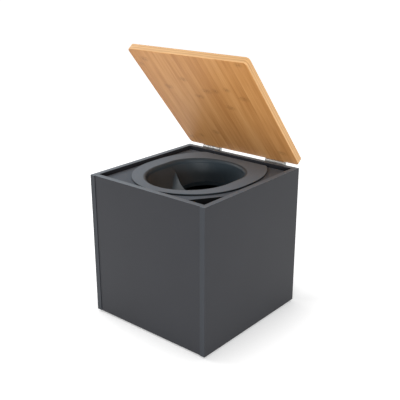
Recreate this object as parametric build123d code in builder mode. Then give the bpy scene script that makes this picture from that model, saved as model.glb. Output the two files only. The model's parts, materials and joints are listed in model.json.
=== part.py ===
from build123d import *
from math import acos, asin, atan, cos, degrees, radians, sin, sqrt
import os

os.makedirs("parts", exist_ok=True)

# All lengths are millimetres. X runs to the right, Y to the rear, Z up.
# The origin lies on the floor, in the middle of the part with its lid standing half open.

# Box of panels
box_width = 380.0
box_depth = 390.0
panel_height = 387.0
panel_thickness = 15.0
front_setback = 1.5
panel_edge_radius = 0.8
panel_joint_radius = 1.2

# Rubber feet and their screws
foot_height = 5.0
foot_radius = 12.0
foot_base_radius = 11.0
foot_inset = 30.0
foot_counterbore_depth = 3.0
foot_counterbore_radius = 5.0
foot_screw_radius = 2.0
foot_screw_head_radius = 4.0
foot_screw_head_height = 2.2
foot_screw_length = 12.0

# Wooden dowels between the panels
dowel_radius = 4.0
dowel_length = 28.0
dowel_in_side = 11.0
dowel_end_gap = 0.5
corner_dowel_shares = (0.12, 0.50, 0.88)
bottom_dowel_shares = (0.15, 0.50, 0.85)

# Deck, its battens and their screws
deck_recess = 11.0
deck_thickness = 12.0
deck_side_gap = 1.0
deck_edge_radius = 0.6
finger_hole_front_leg = 82.0
finger_hole_side_leg = 122.0
finger_hole_corner_radius = 4.0
deck_cutout_margin = 10.5
ledge_size = 18.0
ledge_hole_gap = 10.5
ledge_rear_gap = 20.0
front_ledge_hole_gap = 22.0
ledge_edge_radius = 1.5
ledge_screw_shares = (0.1, 0.5, 0.9)
ledge_screw_length = 28.0

# Countersunk wood screws
screw_radius = 1.9
screw_head_radius = 3.6
screw_head_height = 2.0
screw_gap = 0.05

# Separator insert: flange. The insert sits a little left, away from the finger hole.
insert_shift = -6.0
flange_rise = 4.5
flange_side_margin = 14.0
flange_front_margin = 12.0
flange_rear_margin = 5.0
flange_front_centre = 1.0
flange_side_straight_share = 0.087
flange_side_radius = 210.0
flange_corner_radius = 16.0
flange_thickness = 2.0
flange_edge_radius = 0.8
rib_inset = 9.0
rib_thickness = 2.5

# Separator insert: bowl. Depths are measured from the flange's top.
insert_wall = 2.5
mouth_side_margin = 48.0
mouth_front_margin = 32.5
mouth_rear_margin = 40.5
mouth_front_centre = -10.5
mouth_shoulder_share = 0.096
mouth_depth = 12.0
roll_radius = 9.0
roll_back_radius = 6.0
spout_front_margin = 34.0
spout_radius = 15.0
basin_depth = 90.0
spout_depth = 104.0
basin_valley_lead = 44.0
basin_corner_share = 0.17
basin_foot_angles = (180, 360, 375, 390, 510, 525, 540)
crest_tip_lead = 10.0
crest_tip_radius = 40.0
drop_foot_angles = (0, 90, 180, 225, 315, 360)
drop_shift = 4.0
drop_ring_width = 25.0
drop_depth = 62.0
collar_step = 2.0
collar_depth = 73.0

# Urine canister
canister_side_gap = 30.0
canister_front_gap = 6.5
canister_depth_share = 0.3124
canister_height = 240.0
canister_corner_radius = 18.0
canister_edge_radius = 9.0
canister_wall = 2.2
neck_radius = 29.0
neck_wall = 3.0
neck_height = 16.0
neck_ring_radius = 31.0
neck_ring_rise = 3.0
neck_ring_height = 3.0
grip_width = 80.0
grip_height = 24.0
grip_depth = 22.0
grip_bar = 7.0
grip_inset = 55.0
grip_corner_radius = 8.0
grip_window_radius = 4.0

# Solids bucket
bucket_height = 276.0
bucket_draft = 14.0
bucket_wall = 2.2
bucket_base_corner_radius = 8.0
bucket_inner_corner_radius = 6.0
bucket_canister_gap = 7.0
bead_width = 3.0
bead_height = 8.0
bead_edge_radius = 1.2
ear_radius = 8.0
ear_root = 2.4
ear_reach = 6.5
ear_drop = 19.0
ear_socket = 1.5

# Bucket bail and its grip
bail_rear_gap = 7.0
bail_margin = 14.0
bail_wire_radius = 2.25
bail_bend_radius = 5.0
bail_end = 2.5
bail_rest_gap = 0.4
bail_gap = 0.15
bail_grip_radius = 5.0
bail_grip_half_angle = 16.0
bail_grip_gap = 0.05

# Bamboo lid
lid_side_inset = 2.0
lid_front_inset = 2.0
lid_thickness = 18.5
lid_corner_radius = 10.0
lid_edge_radius = 1.6
lid_gap = 0.5
lid_rest_angle = 50.0

# Friction hinges
hinge_inset = 80.0
hinge_width = 60.0
leaf_thickness = 2.0
box_leaf_height = 38.0
lid_leaf_height = 17.0
leaf_corner_radius = 3.0
knuckle_radius = 7.2
knuckle_gap = 0.3
lid_knuckle_width = 20.0
pin_radius = 2.5
pin_gap = 0.05
pin_head_radius = 4.2
pin_head_height = 2.0
hinge_screw_length = 13.0
hinge_screw_spacing = 40.0
box_screw_rows = (14.5, 30.0)
lid_screw_row = 12.2

# Angles of the drawn arcs, in degrees
quarter_turn = 90.0
half_turn = 180.0

# Places that follow from the sizes
rim_z = foot_height + panel_height
hinge_reach = knuckle_radius + knuckle_gap
hinge_z = rim_z + lid_gap / 2
rest = radians(lid_rest_angle)
leaf_outer_reach = hinge_reach - leaf_thickness
rear_overhang = hinge_reach + lid_leaf_height * sin(rest) - leaf_outer_reach * cos(rest)
middle_y = -rear_overhang / 2
front_y = middle_y - box_depth / 2
rear_y = middle_y + box_depth / 2
hinge_y = rear_y + hinge_reach
inner_half_width = box_width / 2 - panel_thickness
front_face_y = front_y + front_setback
front_inner_y = front_face_y + panel_thickness
rear_inner_y = rear_y - panel_thickness
floor_z = foot_height + panel_thickness
deck_top = rim_z - deck_recess
deck_bottom = deck_top - deck_thickness
flange_top = deck_top + flange_rise
insert_x = insert_shift
deck_half_width = inner_half_width - deck_side_gap
deck_front = front_inner_y + deck_side_gap
deck_rear = rear_inner_y - deck_side_gap
lid_width = box_width - 2 * lid_side_inset
lid_depth = box_depth - lid_front_inset

# Frame of the lid: Y to its rear edge and Z out of its outer face, from the hinge axis
lid_frame = Plane((0, hinge_y, hinge_z), x_dir=(1, 0, 0), z_dir=(0, sin(rest), cos(rest)))

BASE = (Align.CENTER, Align.CENTER, Align.MIN)
TOP = (Align.CENTER, Align.CENTER, Align.MAX)


def block(x_from, x_to, y_from, y_to, z_from, z_to):
    """A rectangular block between two corners, in the open part."""
    with Locations(((x_from + x_to) / 2, (y_from + y_to) / 2, z_from)):
        Box(x_to - x_from, y_to - y_from, z_to - z_from, align=BASE)


def wood_screw(length, gap=0.0, mode=Mode.ADD):
    """A countersunk screw, or a hole for it, whose head lies in the XY plane of each open location."""
    Cylinder(screw_radius + gap, length + gap, align=TOP, mode=mode)
    Cone(screw_radius + gap, screw_head_radius + gap, screw_head_height, align=TOP, mode=mode)


def finish(part, label):
    """Name a piece and write it."""
    part.label = label
    export_step(part, "parts/" + label + ".step")


def spread(shares, start, length):
    """Places at shares of a length."""
    return [start + share * length for share in shares]


# Dowel, screw and foot places, shared by the pieces on both sides of each joint
dowel_x = inner_half_width + dowel_in_side - dowel_length / 2
front_dowel_y = front_face_y + panel_thickness / 2
rear_dowel_y = rear_y - panel_thickness / 2
bottom_dowel_z = foot_height + panel_thickness / 2
corner_dowel_spots = [
    Location((side * dowel_x, y, z), (0, 90, 0))
    for side in (-1, 1)
    for y in (front_dowel_y, rear_dowel_y)
    for z in spread(corner_dowel_shares, foot_height, panel_height)
]
bottom_dowel_spots = [
    Location((side * dowel_x, y, bottom_dowel_z), (0, 90, 0))
    for side in (-1, 1)
    for y in spread(bottom_dowel_shares, front_inner_y, rear_inner_y - front_inner_y)
]
dowel_hole_radius = dowel_radius + screw_gap
dowel_hole_length = dowel_length + 2 * dowel_end_gap

ledge_face_x = inner_half_width - ledge_size
side_ledge_front = deck_front + finger_hole_side_leg + ledge_hole_gap
side_ledge_rear = rear_inner_y - ledge_rear_gap
front_ledge_left = -inner_half_width
front_ledge_right = deck_half_width - finger_hole_front_leg - front_ledge_hole_gap
ledge_screw_z = deck_bottom - ledge_size / 2
ledge_screw_spots = {
    side: [
        Location((side * ledge_face_x, y, ledge_screw_z), (0, -side * 90, 0))
        for y in spread(ledge_screw_shares, side_ledge_front, side_ledge_rear - side_ledge_front)
    ]
    for side in (-1, 1)
}
front_ledge_face_y = front_inner_y + ledge_size
front_ledge_screw_spots = [
    Location((x, front_ledge_face_y, ledge_screw_z), (-90, 0, 0))
    for x in spread(ledge_screw_shares, front_ledge_left, front_ledge_right - front_ledge_left)
]

foot_x = box_width / 2 - foot_inset
foot_spots = {
    "front_left_foot": (-foot_x, front_y + foot_inset),
    "front_right_foot": (foot_x, front_y + foot_inset),
    "rear_left_foot": (-foot_x, rear_y - foot_inset),
    "rear_right_foot": (foot_x, rear_y - foot_inset),
}

hinge_x = box_width / 2 - hinge_inset
hinge_xs = {"left": -hinge_x, "right": hinge_x}
box_hinge_screw_spots = [
    Location((x + step, rear_y + leaf_thickness, hinge_z - row), (-90, 0, 0))
    for x in hinge_xs.values()
    for step in (-hinge_screw_spacing / 2, hinge_screw_spacing / 2)
    for row in box_screw_rows
]
lid_hinge_screw_spots = [
    lid_frame.location * Location((x + step, leaf_thickness - hinge_reach, lid_screw_row), (-90, 0, 0))
    for x in hinge_xs.values()
    for step in (-hinge_screw_spacing / 2, hinge_screw_spacing / 2)
]

# Side panels, full depth, with their front edges in view
for side, label in ((-1, "left_side_panel"), (1, "right_side_panel")):
    outer_x = side * box_width / 2
    inner_x = side * inner_half_width
    with BuildPart() as side_panel:
        block(min(outer_x, inner_x), max(outer_x, inner_x), front_y, rear_y, foot_height, rim_z)
        fillet(side_panel.edges(), panel_edge_radius)
        with Locations(*corner_dowel_spots, *bottom_dowel_spots):
            Cylinder(dowel_hole_radius, dowel_hole_length, mode=Mode.SUBTRACT)
        with Locations(*ledge_screw_spots[side]):
            wood_screw(ledge_screw_length, screw_gap, Mode.SUBTRACT)
    finish(side_panel.part, label)

# Front panel, set back between the sides
with BuildPart() as front_panel:
    block(-inner_half_width, inner_half_width, front_face_y, front_inner_y, foot_height, rim_z)
    fillet(front_panel.edges().filter_by(Axis.X), panel_edge_radius)
    fillet(front_panel.edges().filter_by(Axis.Z).group_by(Axis.Y)[0], panel_joint_radius)
    with Locations(*corner_dowel_spots):
        Cylinder(dowel_hole_radius, dowel_hole_length, mode=Mode.SUBTRACT)
    with Locations(*front_ledge_screw_spots):
        wood_screw(ledge_screw_length, screw_gap, Mode.SUBTRACT)
finish(front_panel.part, "front_panel")

# Rear panel, which carries the hinges
with BuildPart() as rear_panel:
    block(-inner_half_width, inner_half_width, rear_inner_y, rear_y, foot_height, rim_z)
    fillet(rear_panel.edges().filter_by(Axis.X), panel_edge_radius)
    with Locations(*corner_dowel_spots):
        Cylinder(dowel_hole_radius, dowel_hole_length, mode=Mode.SUBTRACT)
    with Locations(*box_hinge_screw_spots):
        wood_screw(hinge_screw_length, screw_gap, Mode.SUBTRACT)
finish(rear_panel.part, "rear_panel")

# Bottom panel, which carries the canister and the bucket
foot_screw_hole = foot_screw_length - (foot_height - foot_counterbore_depth)
with BuildPart() as bottom_panel:
    block(-inner_half_width, inner_half_width, front_inner_y, rear_inner_y, foot_height, floor_z)
    with Locations(*bottom_dowel_spots):
        Cylinder(dowel_hole_radius, dowel_hole_length, mode=Mode.SUBTRACT)
    with BuildSketch(Plane.XY.offset(foot_height)):
        with Locations(*foot_spots.values()):
            Circle(foot_screw_radius + screw_gap)
    extrude(amount=foot_screw_hole + dowel_end_gap, mode=Mode.SUBTRACT)
finish(bottom_panel.part, "bottom_panel")

with BuildPart() as corner_dowels:
    with Locations(*corner_dowel_spots):
        Cylinder(dowel_radius, dowel_length)
finish(corner_dowels.part, "corner_dowels")

with BuildPart() as bottom_dowels:
    with Locations(*bottom_dowel_spots):
        Cylinder(dowel_radius, dowel_length)
finish(bottom_dowels.part, "bottom_dowels")

# Rubber feet, each a low cone frustum with a counterbored screw
for label, spot in foot_spots.items():
    with BuildPart() as foot:
        with BuildSketch(Plane.XY):
            with Locations(spot):
                Circle(foot_base_radius)
        with BuildSketch(Plane.XY.offset(foot_height)):
            with Locations(spot):
                Circle(foot_radius)
        loft()
        with BuildSketch(Plane.XY):
            with Locations(spot):
                Circle(foot_counterbore_radius)
        extrude(amount=foot_counterbore_depth, mode=Mode.SUBTRACT)
        with BuildSketch(Plane.XY):
            with Locations(spot):
                Circle(foot_screw_radius + screw_gap)
        extrude(amount=foot_height, mode=Mode.SUBTRACT)
    finish(foot.part, label)

with BuildPart() as foot_screws:
    with BuildSketch(Plane.XY.offset(foot_counterbore_depth)):
        with Locations(*foot_spots.values()):
            Circle(foot_screw_head_radius)
    extrude(amount=-foot_screw_head_height)
    with BuildSketch(Plane.XY.offset(foot_counterbore_depth)):
        with Locations(*foot_spots.values()):
            Circle(foot_screw_radius)
    extrude(amount=foot_screw_length)
finish(foot_screws.part, "foot_screws")


# Places of the insert's parts, from the box's inside
flange_half_width = inner_half_width - flange_side_margin
flange_front = front_inner_y + flange_front_margin
flange_rear = rear_inner_y - flange_rear_margin
flange_centre = middle_y + flange_front_centre
flange_side_start = middle_y + box_depth * flange_side_straight_share
mouth_half_width = flange_half_width - mouth_side_margin
mouth_front = flange_front + mouth_front_margin
mouth_rear = flange_rear - mouth_rear_margin
mouth_centre = middle_y + mouth_front_centre
mouth_shoulder = middle_y + box_depth * mouth_shoulder_share

# Places of the canister, the bucket and its bail, from front to rear
canister_width = 2 * inner_half_width - 2 * canister_side_gap
canister_depth = (rear_inner_y - front_inner_y) * canister_depth_share
canister_y = front_inner_y + canister_front_gap + canister_depth / 2
bucket_front = canister_y + canister_depth / 2 + bucket_canister_gap + bead_width
bail_reach_y = rear_inner_y - bail_rear_gap - bail_grip_radius
bucket_top_radius = (bail_reach_y - bail_margin - bucket_front) / 2
bucket_base_radius = bucket_top_radius - bucket_draft
bucket_y = bucket_front + bucket_top_radius
bail_radius = bucket_top_radius + bail_margin

# Places of the two ways out of the bowl
spout_y = mouth_front + spout_front_margin
drop_y = bucket_y + drop_shift
drop_radius = bucket_top_radius - drop_ring_width
collar_radius = drop_radius - collar_step
drop_front = drop_y - drop_radius


def ellipse_arc(centre_y, half_width, reach, start, size):
    """Part of an ellipse round a point of the insert's middle line, in the open outline."""
    EllipticalCenterArc((insert_x, centre_y), half_width, reach, start_angle=start, arc_size=size)


def draw_mouth(grow=0.0):
    """Outline of the bowl's mouth, grown all round, in the open sketch."""
    half = mouth_half_width + grow
    front_reach = mouth_centre - mouth_front + grow
    rear_reach = mouth_rear - mouth_shoulder + grow
    with BuildLine() as outline:
        ellipse_arc(mouth_centre, half, front_reach, half_turn, half_turn)
        Line((insert_x + half, mouth_centre), (insert_x + half, mouth_shoulder))
        ellipse_arc(mouth_shoulder, half, rear_reach, 0, half_turn)
        Line((insert_x - half, mouth_shoulder), (insert_x - half, mouth_centre))
    make_face(outline.edges())


def ring_point(centre_y, radius, angle):
    """A point of a circle on the middle line of the insert."""
    return (insert_x + radius * cos(radians(angle)), centre_y + radius * sin(radians(angle)))


def ring_arcs(centre_y, radius, angles):
    """A circle drawn as arcs that end at the given angles."""
    with BuildLine() as ring:
        for start, end in zip(angles, angles[1:]):
            ThreePointArc(
                ring_point(centre_y, radius, start),
                ring_point(centre_y, radius, (start + end) / 2),
                ring_point(centre_y, radius, end),
            )
    return ring.edges()


def loft_basin(grow, mode):
    """The front basin, from the mouth down to the spout, grown by a wall."""
    half = mouth_half_width + grow
    front_reach = mouth_centre - mouth_front + grow
    rear_reach = mouth_rear - mouth_shoulder + grow
    valley = drop_front + basin_valley_lead + grow
    corner_rise = basin_corner_share * (mouth_rear - mouth_shoulder) + grow
    corner_angle = degrees(asin(corner_rise / rear_reach))
    corner_x = half * cos(radians(corner_angle))
    corner_y = mouth_shoulder + corner_rise
    with BuildSketch(Plane.XY.offset(flange_top - mouth_depth)) as top:
        with BuildLine():
            ellipse_arc(mouth_centre, half, front_reach, half_turn, half_turn)
            Line((insert_x + half, mouth_centre), (insert_x + half, mouth_shoulder))
            ellipse_arc(mouth_shoulder, half, rear_reach, 0, corner_angle)
            ThreePointArc(
                (insert_x + corner_x, corner_y), (insert_x, valley), (insert_x - corner_x, corner_y)
            )
            ellipse_arc(mouth_shoulder, half, rear_reach, half_turn - corner_angle, corner_angle)
            Line((insert_x - half, mouth_shoulder), (insert_x - half, mouth_centre))
        make_face()
    with BuildSketch(Plane.XY.offset(flange_top - basin_depth)) as bottom:
        make_face(ring_arcs(spout_y, spout_radius + grow, basin_foot_angles))
    loft([top.sketch, bottom.sketch], ruled=True, mode=mode)


def loft_drop(grow, mode):
    """The rear funnel, from the mouth down to the drop hole, grown by a wall."""
    half = mouth_half_width + grow
    rear_reach = mouth_rear - mouth_shoulder + grow
    apex = drop_front - crest_tip_lead - grow
    with BuildSketch(Plane.XY.offset(flange_top - mouth_depth)) as top:
        with BuildLine():
            ellipse_arc(mouth_shoulder, half, rear_reach, 0, quarter_turn)
            ellipse_arc(mouth_shoulder, half, rear_reach, quarter_turn, quarter_turn)
            FilletPolyline(
                (insert_x - half, mouth_shoulder),
                (insert_x, apex),
                (insert_x + half, mouth_shoulder),
                radius=crest_tip_radius + grow,
            )
        make_face()
    with BuildSketch(Plane.XY.offset(flange_top - drop_depth)) as bottom:
        make_face(ring_arcs(drop_y, drop_radius + grow, drop_foot_angles))
    loft([top.sketch, bottom.sketch], ruled=True, mode=mode)


def bore(centre_y, radius, top_depth, bottom_depth, mode):
    """A round wall or hole on the insert's middle line, between two depths."""
    with Locations((insert_x, centre_y, flange_top - bottom_depth)):
        Cylinder(radius, bottom_depth - top_depth, align=BASE, mode=mode)


def draw_flange(inset=0.0):
    """D-shaped outline of the flange: round front, bowed sides, straight rear edge."""
    half = flange_half_width - inset
    front_reach = flange_centre - flange_front - inset
    rear = flange_rear - inset
    side_rise = rear - flange_side_start
    bow_centre = flange_half_width - flange_side_radius
    bow_radius = flange_side_radius - inset
    corner_x = bow_centre + sqrt(bow_radius**2 - side_rise**2)
    middle_rise = side_rise / 2
    bow_x = bow_centre + sqrt(bow_radius**2 - middle_rise**2)
    right = [(half, flange_side_start), (bow_x, flange_side_start + middle_rise), (corner_x, rear)]
    with BuildLine() as outline:
        ellipse_arc(flange_centre, half, front_reach, half_turn, half_turn)
        Line((insert_x + half, flange_centre), (insert_x + half, flange_side_start))
        ThreePointArc(*[(insert_x + x, y) for x, y in right])
        Line((insert_x + corner_x, rear), (insert_x - corner_x, rear))
        ThreePointArc(*[(insert_x - x, y) for x, y in right[::-1]])
        Line((insert_x - half, flange_side_start), (insert_x - half, flange_centre))
    make_face(outline.edges())


def flange_face(height, inset=0.0):
    """The flange's outline with its round rear corners, inset all round, at a height."""
    with BuildSketch(Plane.XY.offset(height)) as outline:
        draw_flange(inset)
        fillet(outline.vertices().group_by(Axis.Y)[-1], flange_corner_radius - inset)
    return outline.sketch


# The bowl's hollow: two overlapping funnels that meet in the saddle of the divider, and their ways out
with BuildPart() as bowl_hollow:
    loft_basin(0, Mode.ADD)
    loft_drop(0, Mode.ADD)
    bore(drop_y, collar_radius, mouth_depth, collar_depth, Mode.ADD)
    bore(spout_y, spout_radius, basin_depth, spout_depth, Mode.ADD)

# Separator insert: one thin moulding round that hollow
flange_underside = flange_top - flange_thickness
rib_height = flange_rise - flange_thickness
with BuildPart() as separator_insert:
    extrude(flange_face(flange_underside), amount=flange_thickness)
    fillet(separator_insert.faces().sort_by(Axis.Z)[-1].edges(), flange_edge_radius)
    extrude(flange_face(deck_top, rib_inset), amount=rib_height)
    extrude(flange_face(deck_top, rib_inset + rib_thickness), amount=rib_height, mode=Mode.SUBTRACT)
    with BuildSketch(Plane.XY.offset(flange_top - mouth_depth)):
        draw_mouth(insert_wall)
    extrude(amount=mouth_depth - flange_thickness)
    level_faces = separator_insert.faces().filter_by(Axis.Z).group_by(Axis.Z)
    underside = level_faces[-2].sort_by(SortBy.AREA)[-1]
    fillet(underside.inner_wires()[0].edges(), roll_back_radius)
    with BuildSketch(Plane.XY.offset(flange_top)):
        draw_mouth()
    extrude(amount=-mouth_depth, mode=Mode.SUBTRACT)
    fillet(separator_insert.faces().sort_by(Axis.Z)[-1].inner_wires()[0].edges(), roll_radius)
    loft_basin(insert_wall, Mode.ADD)
    loft_drop(insert_wall, Mode.ADD)
    bore(drop_y, collar_radius + insert_wall, drop_depth, collar_depth, Mode.ADD)
    bore(spout_y, spout_radius + insert_wall, basin_depth, spout_depth, Mode.ADD)
    add(bowl_hollow.part, mode=Mode.SUBTRACT)
finish(separator_insert.part, "separator_insert")

# Deck, a flat board with the bowl's cut-out and one cut corner as a finger hole
with BuildPart() as deck_panel:
    with BuildSketch(Plane.XY.offset(deck_bottom)) as deck_outline:
        with BuildLine():
            Polyline(
                (-deck_half_width, deck_front),
                (deck_half_width - finger_hole_front_leg, deck_front),
                (deck_half_width, deck_front + finger_hole_side_leg),
                (deck_half_width, deck_rear),
                (-deck_half_width, deck_rear),
                close=True,
            )
        make_face()
        fillet(deck_outline.vertices(), finger_hole_corner_radius)
    extrude(amount=deck_thickness)
    with BuildSketch(Plane.XY.offset(deck_bottom)):
        draw_mouth(deck_cutout_margin)
    extrude(amount=deck_thickness, mode=Mode.SUBTRACT)
    fillet(deck_panel.faces().sort_by(Axis.Z)[-1].edges(), deck_edge_radius)
finish(deck_panel.part, "deck_panel")

# Battens under the deck, screwed to the sides and to the front panel
ledge_bottom = deck_bottom - ledge_size
for side, label in ((-1, "left_deck_ledge"), (1, "right_deck_ledge")):
    outer_x = side * inner_half_width
    inner_x = side * ledge_face_x
    with BuildPart() as side_ledge:
        block(
            min(outer_x, inner_x), max(outer_x, inner_x),
            side_ledge_front, side_ledge_rear,
            ledge_bottom, deck_bottom,
        )
        fillet(side_ledge.edges(), ledge_edge_radius)
        with Locations(*ledge_screw_spots[side]):
            wood_screw(ledge_screw_length, screw_gap, Mode.SUBTRACT)
    finish(side_ledge.part, label)

with BuildPart() as front_ledge:
    block(
        front_ledge_left, front_ledge_right,
        front_inner_y, front_ledge_face_y,
        ledge_bottom, deck_bottom,
    )
    fillet(front_ledge.edges(), ledge_edge_radius)
    with Locations(*front_ledge_screw_spots):
        wood_screw(ledge_screw_length, screw_gap, Mode.SUBTRACT)
finish(front_ledge.part, "front_deck_ledge")

with BuildPart() as ledge_screws:
    with Locations(*ledge_screw_spots[-1], *ledge_screw_spots[1], *front_ledge_screw_spots):
        wood_screw(ledge_screw_length)
finish(ledge_screws.part, "ledge_screws")

# Urine canister: a rounded tank with a wide neck under the spout and a moulded grip beside it
neck_x = insert_x
neck_y = spout_y
grip_middle = canister_width / 2 - grip_inset
shoulder_z = floor_z + canister_height
with BuildPart() as canister_hollow:
    with BuildSketch(Plane.XY.offset(floor_z + canister_wall)):
        with Locations((0, canister_y)):
            RectangleRounded(
                canister_width - 2 * canister_wall,
                canister_depth - 2 * canister_wall,
                canister_corner_radius - canister_wall,
            )
    extrude(amount=canister_height - 2 * canister_wall)
    fillet(canister_hollow.faces().filter_by(Axis.Z).edges(), canister_edge_radius - canister_wall)

with BuildPart() as urine_canister:
    with BuildSketch(Plane.XY.offset(floor_z)):
        with Locations((0, canister_y)):
            RectangleRounded(canister_width, canister_depth, canister_corner_radius)
    extrude(amount=canister_height)
    fillet(urine_canister.faces().filter_by(Axis.Z).edges(), canister_edge_radius)
    with Locations((neck_x, neck_y, shoulder_z - canister_wall)):
        Cylinder(neck_radius, neck_height + canister_wall, align=BASE)
    with Locations((neck_x, neck_y, shoulder_z + neck_ring_rise)):
        Cylinder(neck_ring_radius, neck_ring_height, align=BASE)
    with BuildSketch(Plane.XZ.offset(-(canister_y - grip_depth / 2))):
        with Locations((grip_middle, shoulder_z)):
            RectangleRounded(grip_width, 2 * grip_height, grip_corner_radius)
            RectangleRounded(
                grip_width - 2 * grip_bar,
                2 * (grip_height - grip_bar),
                grip_window_radius,
                mode=Mode.SUBTRACT,
            )
        with Locations((grip_middle, shoulder_z - canister_wall)):
            Rectangle(
                grip_width, 2 * grip_height, align=(Align.CENTER, Align.MAX), mode=Mode.SUBTRACT
            )
    extrude(amount=-grip_depth)
    add(canister_hollow.part, mode=Mode.SUBTRACT)
    with Locations((neck_x, neck_y, shoulder_z - 2 * canister_wall)):
        Cylinder(
            neck_radius - neck_wall, neck_height + 2 * canister_wall, align=BASE, mode=Mode.SUBTRACT
        )
finish(urine_canister.part, "urine_canister")

# Solids bucket: tapered, with a beaded rim and two ears for the bail
bucket_top = floor_z + bucket_height
pivot_z = bucket_top - ear_drop
ear_length = ear_root + ear_reach
ear_root_x = bucket_top_radius - ear_root
ear_socket_x = bucket_top_radius + ear_socket
bail_end_x = bucket_top_radius + bail_end
bucket_taper = (bucket_top_radius - bucket_base_radius) / bucket_height
inner_base_radius = bucket_base_radius + bucket_wall * bucket_taper - bucket_wall
inner_top_radius = bucket_top_radius - bucket_wall
ear_spots = {
    side: Location((side * ear_root_x, bucket_y, pivot_z), (0, side * 90, 0)) for side in (-1, 1)
}
socket_spots = {
    side: Location((side * ear_socket_x, bucket_y, pivot_z), (0, side * 90, 0)) for side in (-1, 1)
}
with BuildPart() as bucket_hollow:
    with Locations((0, bucket_y, floor_z + bucket_wall)):
        Cone(inner_base_radius, inner_top_radius, bucket_height - bucket_wall, align=BASE)
    fillet(bucket_hollow.edges().sort_by(Axis.Z)[0], bucket_inner_corner_radius)

with BuildPart() as solids_bucket:
    with Locations((0, bucket_y, floor_z)):
        Cone(bucket_base_radius, bucket_top_radius, bucket_height, align=BASE)
    fillet(solids_bucket.edges().sort_by(Axis.Z)[0], bucket_base_corner_radius)
    with Locations((0, bucket_y, bucket_top - bead_height)):
        Cylinder(bucket_top_radius + bead_width, bead_height, align=BASE)
    bead_faces = solids_bucket.faces().filter_by(Axis.Z).group_by(Axis.Z)
    fillet([bead_faces[-1].edges(), bead_faces[-2].edges()], bead_edge_radius)
    with Locations(*ear_spots.values()):
        Cylinder(ear_radius, ear_length, align=BASE)
    with Locations(*socket_spots.values()):
        Cylinder(bail_wire_radius + bail_gap, ear_length, align=BASE, mode=Mode.SUBTRACT)
    add(bucket_hollow.part, mode=Mode.SUBTRACT)
finish(solids_bucket.part, "solids_bucket")

# Wire bail, hanging to the rear. Its frame has X through the ears and Y along its reach.
# It swings down until its grip all but meets the bucket's slanted wall.
hang_reach = bucket_top_radius - bucket_taper * ear_drop + bail_grip_radius + bail_rest_gap
hang = atan(bucket_taper) + acos(hang_reach / (bail_radius * sqrt(1 + bucket_taper**2)))
bail_frame = Plane((0, bucket_y, pivot_z), x_dir=(1, 0, 0), z_dir=(0, sin(hang), cos(hang)))
bend_centre_x = sqrt((bail_radius - bail_bend_radius) ** 2 - bail_bend_radius**2)
bend_scale = bail_radius / (bail_radius - bail_bend_radius)
bend_end = (bend_centre_x * bend_scale, bail_bend_radius * bend_scale)
bend_middle_x = bend_centre_x + bail_bend_radius / sqrt(2)
bend_middle_y = bail_bend_radius - bail_bend_radius / sqrt(2)
with BuildPart() as bucket_bail:
    with BuildLine(bail_frame) as bail_path:
        Line((-bail_end_x, 0), (-bend_centre_x, 0))
        ThreePointArc((-bend_centre_x, 0), (-bend_middle_x, bend_middle_y), (-bend_end[0], bend_end[1]))
        ThreePointArc((-bend_end[0], bend_end[1]), (0, bail_radius), (bend_end[0], bend_end[1]))
        ThreePointArc((bend_end[0], bend_end[1]), (bend_middle_x, bend_middle_y), (bend_centre_x, 0))
        Line((bend_centre_x, 0), (bail_end_x, 0))
    with BuildSketch(Plane(origin=(-bail_end_x, bucket_y, pivot_z), z_dir=(-1, 0, 0))):
        Circle(bail_wire_radius)
    sweep(path=bail_path.wires()[0])
finish(bucket_bail.part, "bucket_bail")

# Grip moulded round the middle of the wire
grip_start = 90 - bail_grip_half_angle
with BuildPart() as bail_grip:
    with BuildLine(bail_frame) as grip_path:
        grip_arc = CenterArc((0, 0), bail_radius, grip_start, 2 * bail_grip_half_angle)
    with BuildSketch(Plane(origin=grip_path.line @ 0, z_dir=grip_path.line % 0)):
        Circle(bail_grip_radius)
        Circle(bail_wire_radius + bail_grip_gap, mode=Mode.SUBTRACT)
    sweep(path=grip_path.wires()[0])
finish(bail_grip.part, "bail_grip")

# Bamboo lid, standing half open
with BuildPart() as lid:
    with BuildSketch(lid_frame.offset(lid_gap / 2)):
        with Locations((0, -hinge_reach - lid_depth / 2)):
            RectangleRounded(lid_width, lid_depth, lid_corner_radius)
    extrude(amount=lid_thickness)
    fillet(lid.faces().filter_by(lid_frame).edges(), lid_edge_radius)
    with Locations(*lid_hinge_screw_spots):
        wood_screw(hinge_screw_length, screw_gap, Mode.SUBTRACT)
finish(lid.part, "lid")

# Friction hinges: a box leaf with two knuckles, a lid leaf with one, and a headed pin
knuckle_half = lid_knuckle_width / 2
outer_knuckle_start = knuckle_half + knuckle_gap
hinge_half = hinge_width / 2
outer_knuckle_width = hinge_half - outer_knuckle_start
bore_radius = pin_radius + pin_gap
leaf_front = -hinge_reach
leaf_back = leaf_thickness - hinge_reach
box_frame = Plane((0, hinge_y, hinge_z))


def knuckle(x_from, x_to):
    """One barrel section about the hinge axis."""
    with Locations(Location((x_from, 0, 0), (0, 90, 0))):
        Cylinder(knuckle_radius, x_to - x_from, align=BASE)


def pin_bore():
    """The bore through all barrel sections."""
    with Locations(Location((-hinge_half, 0, 0), (0, 90, 0))):
        Cylinder(bore_radius, hinge_width, align=BASE, mode=Mode.SUBTRACT)


def leaf_screw_holes(rows, x_sides=(-1, 1)):
    """Countersunk holes through a leaf."""
    for row in rows:
        for x_side in x_sides:
            with Locations(Location((x_side * hinge_screw_spacing / 2, leaf_back, row), (-90, 0, 0))):
                wood_screw(hinge_screw_length, screw_gap, Mode.SUBTRACT)


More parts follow.
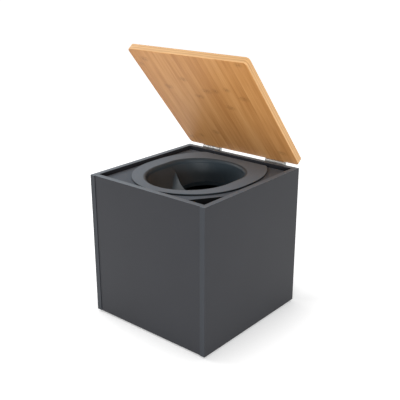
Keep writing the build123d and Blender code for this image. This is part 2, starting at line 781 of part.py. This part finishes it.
with BuildPart() as box_leaf:
    block(-hinge_half, hinge_half, leaf_front, leaf_back, -box_leaf_height, 0)
    fillet(box_leaf.edges().filter_by(Axis.Y).group_by(Axis.Z)[0], leaf_corner_radius)
    with Locations((0, (leaf_front + leaf_back) / 2, -hinge_reach)):
        Box(2 * outer_knuckle_start, 2 * leaf_thickness, hinge_reach, align=BASE, mode=Mode.SUBTRACT)
    knuckle(-hinge_half, -outer_knuckle_start)
    knuckle(outer_knuckle_start, hinge_half)
    pin_bore()
    leaf_screw_holes([-row for row in box_screw_rows])

with BuildPart() as lid_leaf:
    block(-hinge_half, hinge_half, leaf_front, leaf_back, hinge_reach, lid_leaf_height)
    fillet(lid_leaf.edges().filter_by(Axis.Y).group_by(Axis.Z)[-1], leaf_corner_radius)
    block(-knuckle_half, knuckle_half, leaf_front, leaf_back, 0, hinge_reach)
    knuckle(-knuckle_half, knuckle_half)
    pin_bore()
    leaf_screw_holes([lid_screw_row])

with BuildPart() as hinge_pin:
    with Locations(Location((-hinge_half - knuckle_gap, 0, 0), (0, 90, 0))):
        Cylinder(pin_radius, hinge_width + 2 * knuckle_gap, align=BASE)
        Cylinder(pin_head_radius, pin_head_height, align=TOP)
    with Locations(Location((hinge_half + knuckle_gap, 0, 0), (0, 90, 0))):
        Cylinder(pin_head_radius, pin_head_height, align=BASE)

for side, x in hinge_xs.items():
    fixed_place = box_frame.location * Location((x, 0, 0))
    lid_place = lid_frame.location * Location((x, 0, 0))
    finish(box_leaf.part.moved(fixed_place), side + "_hinge_box_leaf")
    finish(lid_leaf.part.moved(lid_place), side + "_hinge_lid_leaf")
    finish(hinge_pin.part.moved(fixed_place), side + "_hinge_pin")

with BuildPart() as hinge_box_screws:
    with Locations(*box_hinge_screw_spots):
        wood_screw(hinge_screw_length)
finish(hinge_box_screws.part, "hinge_box_screws")

with BuildPart() as hinge_lid_screws:
    with Locations(*lid_hinge_screw_spots):
        wood_screw(hinge_screw_length)
finish(hinge_lid_screws.part, "hinge_lid_screws")
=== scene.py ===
import json
import math

import bpy
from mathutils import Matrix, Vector


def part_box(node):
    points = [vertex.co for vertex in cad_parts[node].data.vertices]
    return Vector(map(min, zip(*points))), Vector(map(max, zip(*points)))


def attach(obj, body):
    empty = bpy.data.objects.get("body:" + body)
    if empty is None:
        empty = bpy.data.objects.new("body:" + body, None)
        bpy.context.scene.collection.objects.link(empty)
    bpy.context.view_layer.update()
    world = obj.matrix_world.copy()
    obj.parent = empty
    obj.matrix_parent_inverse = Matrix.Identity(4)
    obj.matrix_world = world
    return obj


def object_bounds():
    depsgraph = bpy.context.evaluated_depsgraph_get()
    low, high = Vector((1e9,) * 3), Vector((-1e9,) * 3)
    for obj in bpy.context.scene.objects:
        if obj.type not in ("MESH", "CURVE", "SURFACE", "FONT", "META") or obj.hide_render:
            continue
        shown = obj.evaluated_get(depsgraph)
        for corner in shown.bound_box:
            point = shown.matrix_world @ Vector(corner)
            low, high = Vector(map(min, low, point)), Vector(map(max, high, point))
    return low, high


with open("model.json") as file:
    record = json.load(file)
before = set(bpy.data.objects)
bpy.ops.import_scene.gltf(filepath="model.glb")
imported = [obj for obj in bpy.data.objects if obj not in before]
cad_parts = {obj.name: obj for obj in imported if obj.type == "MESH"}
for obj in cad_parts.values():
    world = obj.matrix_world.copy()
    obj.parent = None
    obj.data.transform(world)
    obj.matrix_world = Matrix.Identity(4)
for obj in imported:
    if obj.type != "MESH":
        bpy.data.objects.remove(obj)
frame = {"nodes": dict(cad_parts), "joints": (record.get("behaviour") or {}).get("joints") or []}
size_at_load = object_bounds()
nodes = frame["nodes"]
scene = bpy.context.scene

# Camera
MILLIMETRES = 1000
SENSOR = 0.036
FOCAL = 0.06239
CAMERA_AT = Vector((1.1096, -1.3175, 0.9381))
AZIMUTH = math.radians(39.96)
ELEVATION = math.radians(20.03)

# Light: the world's level on the object, to the camera and in reflections of the side that it dims
WORLD_LIGHT = 0.60
WORLD_SEEN = 1.05
WORLD_DIM = 0.30
DIM_SIDE = (0.62, -0.72, 0.30)
DIM_SPAN = (-0.3, 0.5)
FRONT_LIGHT_AT = (1.9, -2.4, 0.62)
FRONT_LIGHT_TO = (0, 0, 0.5)
FRONT_LIGHT_SIZE = (2.6, 0.5)
FRONT_LIGHT_POWER = 74.0
LEFT_LIGHT_AT = (-1.7, -0.4, 1.5)
LEFT_LIGHT_TO = (0, 0, 0.4)
LEFT_LIGHT_SIZE = (1.6, 1.2)
LEFT_LIGHT_POWER = 18.0

# Floor: it glows a little more away from the object, so that the object's own shadow stays; the weaker glow
# near its footprint is also a painted contact shadow
FLOOR_SIZE = 60.0
FLOOR_TONE = 0.90
FLOOR_ROUGHNESS = 0.9
# Weaker glow next to the object: painted contact shadow
LIFT_NEAR_PAINTED_SHADOW = 0.28
LIFT_FAR = 0.52
LIFT_REACH = (0.0, 0.11)

# Colours
BOARD_FACE = (0.0098, 0.0110, 0.0155)
# Lighter tone on the boards' cut edges: a painted highlight
BOARD_EDGE_PAINTED_HIGHLIGHT = (0.0180, 0.0220, 0.0290)
# Much lighter tone on the boards' rim tops: painted light from above
BOARD_RIM_PAINTED_LIGHT = (0.130, 0.158, 0.190)
# Deck board's flat faces: the dark board lightened, painted light from above
DECK_TOP_PAINTED_LIGHT = (0.124, 0.144, 0.172)
DECK_EDGE = (0.020, 0.021, 0.023)
BOWL_PLASTIC = (0.034, 0.047, 0.058)
# Flange top: the bowl's plastic lightened, painted light from above
FLANGE_PAINTED_LIGHT = (0.162, 0.192, 0.228)
# Insert's underside: near black, painted shade
UNDERSIDE_PAINTED_SHADE = (0.0035, 0.0040, 0.0045)
CANISTER_PLASTIC = (0.022, 0.024, 0.026)
BUCKET_PLASTIC = (0.030, 0.032, 0.035)
HINGE_STEEL = (0.64, 0.64, 0.63)
SCREW_STEEL = (0.36, 0.36, 0.35)
FOOT_RUBBER = (0.022, 0.022, 0.022)
# Near-black strip under the flange: painted shadow
SHADOW_STRIP_BLACK = (0.006, 0.006, 0.007)
BATTEN_PALE = (0.50, 0.36, 0.20)
BATTEN_DARK = (0.34, 0.22, 0.11)
DOWEL_PALE = (0.62, 0.47, 0.29)
DOWEL_DARK = (0.46, 0.32, 0.18)
BAMBOO_DARK = (0.395, 0.170, 0.048)
BAMBOO_MID = (0.492, 0.234, 0.076)
BAMBOO_LIGHT = (0.575, 0.300, 0.112)
BAMBOO_PALE = (0.58, 0.310, 0.120)
BAMBOO_END = (0.72, 0.430, 0.195)
BAMBOO_JOINT = (0.17, 0.065, 0.016)

# Grain shared by the plain materials: scale and detail of each noise, and the part of it that is used
SLOW_NOISE = (9.0, 3.0)
FINE_DETAIL = 2.0
TONE_SPAN = (0.3, 0.7)
ROUGH_SPAN = (0.25, 0.75)
GRAIN_STRENGTH = 0.6
SMOOTH_DEPTH = 0.00002

# Boards and the moulded insert
EDGE_LIMIT = 0.6
EDGE_NOISE = (600.0, 3.0)
EDGE_SHADES = (0.85, 1.12)
FLANGE_FADE = 0.005
FLAT_SPAN = (0.955, 0.998)
FLANGE_NOISE = (1500.0, 1.0)
FLANGE_SHADES = (0.88, 1.12)
# Painted shade under the insert: this far below the flange, on faces that lean down
UNDERSIDE_DROP = 0.020
UNDERSIDE_LEAN = -0.02

# Planed wood
WOOD_ACROSS = 130.0
WOOD_ALONG = 6.0
RING_NOISE = (1.0, 5.0, 0.6)
RING_PLACES = (0.32, 0.62)
PORE_STRETCH = 7.0
PORE_NOISE = (1.0, 2.0)
PORE_SHADE = (0.35, 0.5, 0.35, 0.0)
WOOD_ROUGHNESS = (0.3, 0.7, 0.68, 0.54)
WOOD_DEPTH = 0.0001
WOOD_STRENGTH = 0.5

# Bamboo: strips, fibres and streaks
LID_REST = math.radians(50)
LID_THICKNESS = 0.0185
PLIES = 3
STRIP_WIDTH = 0.0198
STRIP_SEED = (3.0, 7.0)
STRIP_SHIFT = 0.9
FIBRE_ACROSS = 90.0
FIBRE_ALONG = 1.8
FIBRE_NOISE = (6.0, 5.0, 0.6)
STREAK_ACROSS = 15.0
STREAK_ALONG = 0.9
STREAK_SEED = 0.4
STREAK_NOISE = (5.0, 3.0)
FIBRE_SHARE = 0.34
STREAK_SHARE = 0.52
STRIP_SHARE = 0.20
TONE_PLACES = (0.36, 0.52, 0.70)
GLUE_SHADE = (0.475, 0.498, 0.0, 0.28)
PLY_SHADE = (0.36, 0.5, 0.0, 0.80)
EDGE_STRETCH = (9.0, 9.0, 520.0)
EDGE_GRAIN_NOISE = (1.0, 4.0)
EDGE_PLACES = (0.28, 0.50)
EDGE_TURN = (0.55, 0.80, 1.0, 0.0)
BAMBOO_ROUGHNESS = (0.3, 0.7, 0.52, 0.40)
BAMBOO_SHEEN = 0.30
BAMBOO_DEPTH = 0.0001
BAMBOO_STRENGTH = 0.4

# Bamboo: joints of the culm
JOINT_SPREAD = 1.9
JOINT_LENGTH = 0.0115
JOINT_FADE = (0.15, 1.0, 1.0, 0.0)
JOINT_STRENGTH = 0.72
RAGGED_ACROSS = 330.0
RAGGED_ALONG = 90.0
RAGGED_SEED = 1.0
RAGGED_NOISE = (1.0, 3.0)
RAGGED_REACH = 0.006
FLECK_ACROSS = 700.0
FLECK_ALONG = 210.0
FLECK_SEED = 4.0
FLECK_NOISE = (1.0, 2.0)
FLECK_SPAN = (0.44, 0.60, 0.12, 1.0)
# Place from the middle and from the hinge axis, and half width, of each joint
BAMBOO_JOINTS = (
    (-0.147, -0.364, 0.010), (-0.170, -0.342, 0.006), (-0.049, -0.303, 0.008),
    (-0.122, -0.263, 0.010), (0.010, -0.268, 0.011), (0.040, -0.273, 0.007),
    (-0.028, -0.241, 0.010), (0.059, -0.214, 0.011), (0.122, -0.260, 0.012),
    (0.081, -0.284, 0.007), (-0.052, -0.087, 0.009), (-0.169, -0.040, 0.009),
    (-0.120, -0.056, 0.007), (0.152, -0.050, 0.010), (0.162, -0.385, 0.008),
)

# Black strip under the flange: painted shadow in the gap between the flange and the deck
FLANGE_THICKNESS = 0.0020
SHADOW_STRIP_INSET = 0.0003
SHADOW_STRIP_WIDTH = 0.0050
SHADOW_STRIP_GAP = 0.00005
OUTLINE_DIGITS = 5

# Sockets of Blender's colour mixing node
MIX_A = 6
MIX_B = 7
MIX_RESULT = 2


class Shader:
    """A small wrapper that adds nodes to one material."""

    def __init__(self, name):
        self.material = bpy.data.materials.new(name)
        self.material.use_nodes = True
        self.tree = self.material.node_tree
        self.surface = self.tree.nodes["Principled BSDF"]
        # Both stay fixed on the object, so a look turns with its piece
        texture = self.tree.nodes.new("ShaderNodeTexCoord").outputs
        self.coords = texture["Object"]
        self.normal = texture["Normal"]

    def link(self, source, target):
        self.tree.links.new(source, target)

    def set(self, **values):
        """Constants on the surface's own sockets."""
        for key, value in values.items():
            self.surface.inputs[key.replace("_", " ")].default_value = value

    def feed(self, node, socket, value):
        """Put a number, vector or another node's output on a socket."""
        if value is None:
            return
        if hasattr(value, "is_linked"):
            self.link(value, node.inputs[socket])
        else:
            node.inputs[socket].default_value = value

    def math(self, operation, a, b=None):
        node = self.tree.nodes.new("ShaderNodeMath")
        node.operation = operation
        self.feed(node, 0, a)
        self.feed(node, 1, b)
        return node.outputs[0]

    def times(self, value, factor):
        return self.math("MULTIPLY", value, factor)

    def add(self, a, b):
        return self.math("ADD", a, b)

    def size(self, value):
        return self.math("ABSOLUTE", value)

    def parts(self, vector):
        node = self.tree.nodes.new("ShaderNodeSeparateXYZ")
        self.feed(node, 0, vector)
        return node.outputs

    def join(self, x, y, z):
        node = self.tree.nodes.new("ShaderNodeCombineXYZ")
        for index, value in enumerate((x, y, z)):
            self.feed(node, index, value)
        return node.outputs[0]

    def vector(self, operation, a, b=None):
        node = self.tree.nodes.new("ShaderNodeVectorMath")
        node.operation = operation
        self.feed(node, 0, a)
        self.feed(node, 1, b)
        return node.outputs["Value" if operation == "LENGTH" else "Vector"]

    def noise(self, vector, scale, detail, roughness=0.5):
        node = self.tree.nodes.new("ShaderNodeTexNoise")
        self.feed(node, "Vector", vector)
        node.inputs["Scale"].default_value = scale
        node.inputs["Detail"].default_value = detail
        node.inputs["Roughness"].default_value = roughness
        return node.outputs["Fac"]

    def random(self, vector):
        node = self.tree.nodes.new("ShaderNodeTexWhiteNoise")
        node.noise_dimensions = "3D"
        self.feed(node, "Vector", vector)
        return node.outputs["Value"]

    def map(self, value, low, high, new_low=0.0, new_high=1.0):
        """A value stretched from one range to another, and held at the new ends."""
        node = self.tree.nodes.new("ShaderNodeMapRange")
        for index, number in enumerate((value, low, high, new_low, new_high)):
            self.feed(node, index, number)
        return node.outputs[0]

    def ramp(self, value, places, colours):
        node = self.tree.nodes.new("ShaderNodeValToRGB")
        elements = node.color_ramp.elements
        while len(elements) < len(places):
            elements.new(places[-1])
        for element, place, colour in zip(elements, places, colours):
            element.position = place
            element.color = (*colour, 1)
        self.feed(node, 0, value)
        return node.outputs["Color"]

    def mix(self, factor, a, b):
        node = self.tree.nodes.new("ShaderNodeMix")
        node.data_type = "RGBA"
        self.feed(node, "Factor", factor)
        for socket, value in ((MIX_A, a), (MIX_B, b)):
            if isinstance(value, tuple):
                value = (*value, 1)
            self.feed(node, socket, value)
        return node.outputs[MIX_RESULT]

    def shades(self, factor, colour, low, high):
        """One colour that goes from a darker to a lighter shade of itself."""
        return self.mix(factor, tuple(c * low for c in colour), tuple(c * high for c in colour))

    def bump(self, height, distance, strength):
        node = self.tree.nodes.new("ShaderNodeBump")
        node.inputs["Strength"].default_value = strength
        node.inputs["Distance"].default_value = distance
        self.link(height, node.inputs["Height"])
        self.link(node.outputs["Normal"], self.surface.inputs["Normal"])


def plain(name, colour, rough, spread, grain, tone, metal=0.0, depth=0.00003, sheen=0.5):
    """A matt or satin material with a slow change of tone and a fine surface grain."""
    s = Shader(name)
    slow = s.noise(s.coords, *SLOW_NOISE)
    fine = s.noise(s.coords, grain, FINE_DETAIL)
    s.link(s.shades(s.map(slow, *TONE_SPAN), colour, 1 - tone, 1 + tone), s.surface.inputs["Base Color"])
    s.link(s.map(fine, *ROUGH_SPAN, rough - spread, rough + spread), s.surface.inputs["Roughness"])
    s.set(Metallic=metal, Specular_IOR_Level=sheen)
    s.bump(fine, depth, GRAIN_STRENGTH)
    return s


def board(name, face, edge, rim, rough, edge_axis, sheen):
    """Laminated board: a fine grain on its faces; its cut edges get a lighter tone, a painted highlight, and
    its rim on top a much lighter one, painted light from above.
    """
    s = plain(name, face, rough, spread=0.05, grain=1400.0, tone=0.06, depth=SMOOTH_DEPTH, sheen=sheen)
    colour = s.surface.inputs["Base Color"].links[0].from_socket
    normal = s.parts(s.normal)
    is_edge = s.math("LESS_THAN", s.size(normal[edge_axis]), EDGE_LIMIT)
    # Up-facing cut edges, the rim, which get painted light
    lit_rim = s.times(is_edge, s.math("GREATER_THAN", normal[2], EDGE_LIMIT))
    fibre = s.noise(s.coords, *EDGE_NOISE)
    # Cut edges get a painted highlight and the rim painted light, in place of the board's own dark colour
    for place, tone in ((is_edge, edge), (lit_rim, rim)):
        colour = s.mix(place, colour, s.shades(fibre, tone, *EDGE_SHADES))
    s.link(colour, s.surface.inputs["Base Color"])
    return s


def moulding(name, inside, flange, inside_rough, flange_rough, flange_z):
    """Moulded plastic: smooth in the bowl; on the flange's flat top rougher, textured and much paler, painted
    light from above; near black underneath, painted shade.
    """
    s = plain(name, inside, inside_rough, spread=0.03, grain=700.0, tone=0.06, depth=SMOOTH_DEPTH, sheen=0.26)
    z = s.parts(s.coords)[2]
    upward = s.parts(s.normal)[2]
    high_up = s.map(z, flange_z - FLANGE_FADE, flange_z - FLANGE_FADE / 2)
    # Flat top of the flange, which gets painted light
    lit_top = s.times(high_up, s.map(upward, *FLAT_SPAN))
    # Down-facing faces low on the insert, which get painted shade
    below = s.math("LESS_THAN", z, flange_z - UNDERSIDE_DROP)
    under = s.times(below, s.math("LESS_THAN", upward, UNDERSIDE_LEAN))
    surface = s.surface.inputs
    base = s.mix(under, surface["Base Color"].links[0].from_socket, UNDERSIDE_PAINTED_SHADE)
    speck = s.noise(s.coords, *FLANGE_NOISE)
    s.link(s.mix(lit_top, base, s.shades(speck, flange, *FLANGE_SHADES)), surface["Base Color"])
    rough = surface["Roughness"].links[0].from_socket
    s.link(s.add(rough, s.times(lit_top, flange_rough - inside_rough)), surface["Roughness"])
    return s


def wood(name, pale, dark, axis):
    """Plain planed wood with its grain along one axis."""
    s = Shader(name)
    stretch = [WOOD_ALONG if index == axis else WOOD_ACROSS for index in range(3)]
    lengths = [s.times(part, factor) for part, factor in zip(s.parts(s.coords), stretch)]
    rings = s.noise(s.join(*lengths), *RING_NOISE)
    pores = s.noise(s.join(*[s.times(length, PORE_STRETCH) for length in lengths]), *PORE_NOISE)
    colour = s.ramp(rings, RING_PLACES, (dark, pale))
    s.link(s.mix(s.map(pores, *PORE_SHADE), colour, dark), s.surface.inputs["Base Color"])
    s.link(s.map(rings, *WOOD_ROUGHNESS), s.surface.inputs["Roughness"])
    s.bump(rings, WOOD_DEPTH, WOOD_STRENGTH)
    return s


def bamboo_joints(s, x, along, colour):
    """Joints of the culm: small dark fans, broken up by the fibres."""
    ragged = s.noise(
        s.join(s.times(x, RAGGED_ACROSS), s.times(along, RAGGED_ALONG), RAGGED_SEED), *RAGGED_NOISE
    )
    bent = s.add(along, s.times(s.math("SUBTRACT", ragged, 0.5), RAGGED_REACH))
    spot = s.join(x, bent, 0.0)
    shade = None
    for at_x, at_along, half_width in BAMBOO_JOINTS:
        away = s.vector("SUBTRACT", spot, (at_x, at_along, 0.0))
        away = s.vector("MULTIPLY", away, (1 / (half_width * JOINT_SPREAD), 1 / JOINT_LENGTH, 0.0))
        near = s.map(s.vector("LENGTH", away), *JOINT_FADE)
        shade = near if shade is None else s.math("MAXIMUM", shade, near)
    flecks = s.noise(s.join(s.times(x, FLECK_ACROSS), s.times(along, FLECK_ALONG), FLECK_SEED), *FLECK_NOISE)
    flecks = s.map(flecks, *FLECK_SPAN)
    return s.mix(s.times(s.times(shade, flecks), JOINT_STRENGTH), colour, BAMBOO_JOINT)


def bamboo_face(s, x, along):
    """Fibres, wider streaks, one tone to each strip, joints and faint glue lines."""
    strip_place = s.math("DIVIDE", x, STRIP_WIDTH)
    lean = s.random(s.join(s.math("FLOOR", strip_place), *STRIP_SEED))
    shifted = s.add(along, s.times(lean, STRIP_SHIFT))
    fibre = s.noise(s.join(s.times(x, FIBRE_ACROSS), s.times(shifted, FIBRE_ALONG), 0.0), *FIBRE_NOISE)
    streak = s.noise(
        s.join(s.times(x, STREAK_ACROSS), s.times(shifted, STREAK_ALONG), STREAK_SEED), *STREAK_NOISE
    )
    tone = s.add(s.times(fibre, FIBRE_SHARE), s.times(streak, STREAK_SHARE))
    tone = s.add(tone, s.times(lean, STRIP_SHARE))
    colour = s.ramp(tone, TONE_PLACES, (BAMBOO_DARK, BAMBOO_MID, BAMBOO_LIGHT))
    colour = bamboo_joints(s, x, along, colour)
    across = s.size(s.math("SUBTRACT", s.math("FRACT", strip_place), 0.5))
    return fibre, s.mix(s.map(across, *GLUE_SHADE), colour, BAMBOO_DARK)


def bamboo_edge(s, x, along, up):
    """Sawn edge: plies with a dark line at each glue joint."""
    ply = s.math("FRACT", s.math("DIVIDE", up, LID_THICKNESS / PLIES))
    line = s.map(s.size(s.math("SUBTRACT", ply, 0.5)), *PLY_SHADE)
    stretched = s.join(*[s.times(part, factor) for part, factor in zip((x, along, up), EDGE_STRETCH)])
    colour = s.ramp(s.noise(stretched, *EDGE_GRAIN_NOISE), EDGE_PLACES, (BAMBOO_PALE, BAMBOO_END))
    return s.mix(line, colour, BAMBOO_DARK)


def bamboo(name, hinge_at, rest_angle):
    """Bamboo board whose strips run from the hinge to the free edge, as it leans at rest."""
    s = Shader(name)
    x, y, z = s.parts(s.coords)
    cosine = math.cos(rest_angle)
    sine = math.sin(rest_angle)
    rel_y = s.math("SUBTRACT", y, hinge_at[0])
    rel_z = s.math("SUBTRACT", z, hinge_at[1])
    along = s.math("SUBTRACT", s.times(rel_y, cosine), s.times(rel_z, sine))
    up = s.add(s.times(rel_y, sine), s.times(rel_z, cosine))
    fibre, face_colour = bamboo_face(s, x, along)
    edge_colour = bamboo_edge(s, x, along, up)
    normal = s.parts(s.normal)
    facing = s.size(s.add(s.times(normal[1], sine), s.times(normal[2], cosine)))
    s.link(s.mix(s.map(facing, *EDGE_TURN), face_colour, edge_colour), s.surface.inputs["Base Color"])
    s.link(s.map(fibre, *BAMBOO_ROUGHNESS), s.surface.inputs["Roughness"])
    s.set(Specular_IOR_Level=BAMBOO_SHEEN)
    s.bump(fibre, BAMBOO_DEPTH, BAMBOO_STRENGTH)
    return s


def dress(flange_top_z):
    """Give each node its material."""
    hinge_joint = next(j for j in frame["joints"] if j["name"] == "lid_hinge")
    hinge_at = (hinge_joint["pos_m"][1], hinge_joint["pos_m"][2])
    side_board = board("side_board", BOARD_FACE, BOARD_EDGE_PAINTED_HIGHLIGHT, BOARD_RIM_PAINTED_LIGHT, rough=0.52, edge_axis=0, sheen=0.44)
    front_board = board("front_board", BOARD_FACE, BOARD_EDGE_PAINTED_HIGHLIGHT, BOARD_RIM_PAINTED_LIGHT, rough=0.52, edge_axis=1, sheen=0.44)
    # The deck board's flat faces are painted lighter, as lit from above
    deck_board = board("deck_board", DECK_TOP_PAINTED_LIGHT, DECK_EDGE, DECK_EDGE, rough=0.75, edge_axis=2, sheen=0.12)
    # The insert's flange top carries painted light and its underside painted shade
    insert = moulding(
        "insert", BOWL_PLASTIC, FLANGE_PAINTED_LIGHT, inside_rough=0.46, flange_rough=0.75, flange_z=flange_top_z
    )
    steel = plain("hinge_steel", HINGE_STEEL, rough=0.36, spread=0.08, grain=500.0, tone=0.08, metal=1.0)
    screw_steel = plain("screw_steel", SCREW_STEEL, rough=0.30, spread=0.06, grain=500.0, tone=0.05, metal=1.0)
    rubber = plain("rubber", FOOT_RUBBER, rough=0.8, spread=0.06, grain=400.0, tone=0.15)
    canister = plain("canister_plastic", CANISTER_PLASTIC, rough=0.45, spread=0.05, grain=300.0, tone=0.05)
    bucket = plain("bucket_plastic", BUCKET_PLASTIC, rough=0.42, spread=0.05, grain=500.0, tone=0.06)
    batten = wood("batten_wood", BATTEN_PALE, BATTEN_DARK, axis=1)
    front_batten = wood("front_batten_wood", BATTEN_PALE, BATTEN_DARK, axis=0)
    dowel = wood("dowel_wood", DOWEL_PALE, DOWEL_DARK, axis=0)
    lid_wood = bamboo("bamboo", hinge_at, LID_REST)
    looks = {
        "left_side_panel": side_board, "right_side_panel": side_board,
        "front_panel": front_board, "rear_panel": front_board, "bottom_panel": deck_board,
        "deck_panel": deck_board, "separator_insert": insert, "lid": lid_wood,
        "left_deck_ledge": batten, "right_deck_ledge": batten, "front_deck_ledge": front_batten,
        "corner_dowels": dowel, "bottom_dowels": dowel,
        "front_left_foot": rubber, "front_right_foot": rubber,
        "rear_left_foot": rubber, "rear_right_foot": rubber,
        "ledge_screws": screw_steel, "foot_screws": screw_steel,
        "hinge_box_screws": screw_steel, "hinge_lid_screws": screw_steel,
        "left_hinge_pin": screw_steel, "right_hinge_pin": screw_steel,
        "urine_canister": canister, "solids_bucket": bucket, "bail_grip": bucket,
    }
    for name, node in nodes.items():
        node.data.materials.clear()
        node.data.materials.append(looks.get(name, steel).material)


def hull(points):
    """Convex outline of flat points, anticlockwise."""
    points = sorted(set(points))
    sides = []
    for row in (points, points[::-1]):
        side = []
        for point in row:
            while len(side) > 1:
                (ax, ay), (bx, by) = side[-2:]
                if (bx - ax) * (point[1] - ay) - (by - ay) * (point[0] - ax) > 0:
                    break
                side.pop()
            side.append(point)
        sides += side[:-1]
    return sides


def inset(outline, distance):
    """A convex outline drawn in by a distance."""
    moved = []
    for before, here, after in zip(outline[-1:] + outline[:-1], outline, outline[1:] + outline[:1]):
        along = (Vector(after) - Vector(before)).normalized()
        moved.append((here[0] - along.y * distance, here[1] + along.x * distance))
    return moved


def flange_shadow_strip(flange_top_z):
    """Black strip between the flange and the deck, set in a little from the flange's edge: painted shadow in
    the gap under the flange.
    """
    outline = hull([
        (round(v.co.x, OUTLINE_DIGITS), round(v.co.y, OUTLINE_DIGITS))
        for v in nodes["separator_insert"].data.vertices
        if v.co.z > flange_top_z - FLANGE_THICKNESS / 2
    ])
    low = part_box("deck_panel")[1][2] + SHADOW_STRIP_GAP
    high = flange_top_z - FLANGE_THICKNESS - SHADOW_STRIP_GAP
    inner = SHADOW_STRIP_INSET + SHADOW_STRIP_WIDTH
    section = ((SHADOW_STRIP_INSET, low), (SHADOW_STRIP_INSET, high), (inner, high), (inner, low))
    corners = [(x, y, z) for distance, z in section for x, y in inset(outline, distance)]
    count = len(outline)
    quads = []
    for ring in range(len(section)):
        start = ring * count
        next_start = (ring + 1) % len(section) * count
        for i in range(count):
            j = (i + 1) % count
            quads.append((start + i, start + j, next_start + j, next_start + i))
    mesh = bpy.data.meshes.new("flange_shadow_strip")
    mesh.from_pydata(corners, [], quads)
    shadow_strip = bpy.data.objects.new("flange_shadow_strip", mesh)
    scene.collection.objects.link(shadow_strip)
    # Near-black colour: painted shadow in the gap under the flange
    look = plain("painted_shadow_black", SHADOW_STRIP_BLACK, rough=0.85, spread=0.05, grain=600.0, tone=0.15)
    mesh.materials.append(look.material)
    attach(shadow_strip, "deck")


def white_floor():
    """White floor that keeps the object's shadow; its glow is weaker near the object's footprint, a painted
    contact shadow.
    """
    bpy.ops.mesh.primitive_plane_add(size=FLOOR_SIZE, location=(0, 0, 0))
    floor = bpy.context.object
    floor.name = "floor"
    ground = Shader("floor")
    ground.set(
        Base_Color=(FLOOR_TONE, FLOOR_TONE, FLOOR_TONE, 1),
        Roughness=FLOOR_ROUGHNESS,
        Specular_IOR_Level=0.0,
        Emission_Color=(1, 1, 1, 1),
    )
    path = ground.tree.nodes.new("ShaderNodeLightPath").outputs
    seen = ground.math("MAXIMUM", path["Is Camera Ray"], path["Is Glossy Ray"])
    x, y, _ = ground.parts(ground.coords)
    beside = ground.math("SUBTRACT", ground.size(x), size_at_load[1][0])
    before = ground.math("SUBTRACT", ground.size(y), -size_at_load[0][1])
    reach = ground.math("MAXIMUM", beside, before)
    # Glow that drops near the object's footprint: painted contact shadow
    glow_with_painted_shadow = ground.map(reach, *LIFT_REACH, LIFT_NEAR_PAINTED_SHADOW, LIFT_FAR)
    ground.link(ground.times(seen, glow_with_painted_shadow), ground.surface.inputs["Emission Strength"])
    floor.data.materials.append(ground.material)


def white_world():
    """White surroundings, dimmer in reflections on the side of the front light."""
    world = bpy.data.worlds.new("studio")
    scene.world = world
    world.use_nodes = True
    tree = world.node_tree

    def blend(value, low, high, new_low, new_high):
        node = tree.nodes.new("ShaderNodeMapRange")
        for index, item in enumerate((value, low, high, new_low, new_high)):
            if hasattr(item, "is_linked"):
                tree.links.new(item, node.inputs[index])
            else:
                node.inputs[index].default_value = item
        return node.outputs[0]

    background = tree.nodes["Background"]
    background.inputs["Color"].default_value = (1, 1, 1, 1)
    path = tree.nodes.new("ShaderNodeLightPath").outputs
    side = tree.nodes.new("ShaderNodeVectorMath")
    side.operation = "DOT_PRODUCT"
    tree.links.new(tree.nodes.new("ShaderNodeTexCoord").outputs["Generated"], side.inputs[0])
    side.inputs[1].default_value = DIM_SIDE
    mirrored = blend(side.outputs["Value"], *DIM_SPAN, WORLD_SEEN, WORLD_DIM)
    mirrored = blend(path["Is Glossy Ray"], 0.0, 1.0, WORLD_LIGHT, mirrored)
    level = blend(path["Is Camera Ray"], 0.0, 1.0, mirrored, WORLD_SEEN)
    tree.links.new(level, background.inputs["Strength"])


def place(name, data, at, direction):
    """An object that looks along a direction from its place."""
    thing = bpy.data.objects.new(name, data)
    scene.collection.objects.link(thing)
    thing.location = at
    thing.rotation_mode = "QUATERNION"
    thing.rotation_quaternion = direction.to_track_quat("-Z", "Y")
    return thing


def softbox(name, at, to, size, power):
    light = bpy.data.lights.new(name, "AREA")
    light.shape = "RECTANGLE"
    light.size, light.size_y = size
    light.energy = power
    place(name, light, at, Vector(to) - Vector(at))


def set_camera():
    data = bpy.data.cameras.new("camera")
    data.sensor_width = SENSOR * MILLIMETRES
    data.lens = FOCAL * MILLIMETRES
    direction = Vector((
        -math.sin(AZIMUTH) * math.cos(ELEVATION),
        math.cos(AZIMUTH) * math.cos(ELEVATION),
        -math.sin(ELEVATION),
    ))
    scene.camera = place("camera", data, CAMERA_AT, direction)


insert_top_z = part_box("separator_insert")[1][2]
dress(insert_top_z)
flange_shadow_strip(insert_top_z)
white_floor()
white_world()
softbox("front_light", FRONT_LIGHT_AT, FRONT_LIGHT_TO, FRONT_LIGHT_SIZE, FRONT_LIGHT_POWER)
softbox("left_light", LEFT_LIGHT_AT, LEFT_LIGHT_TO, LEFT_LIGHT_SIZE, LEFT_LIGHT_POWER)
set_camera()
scene.view_settings.view_transform = "Standard"
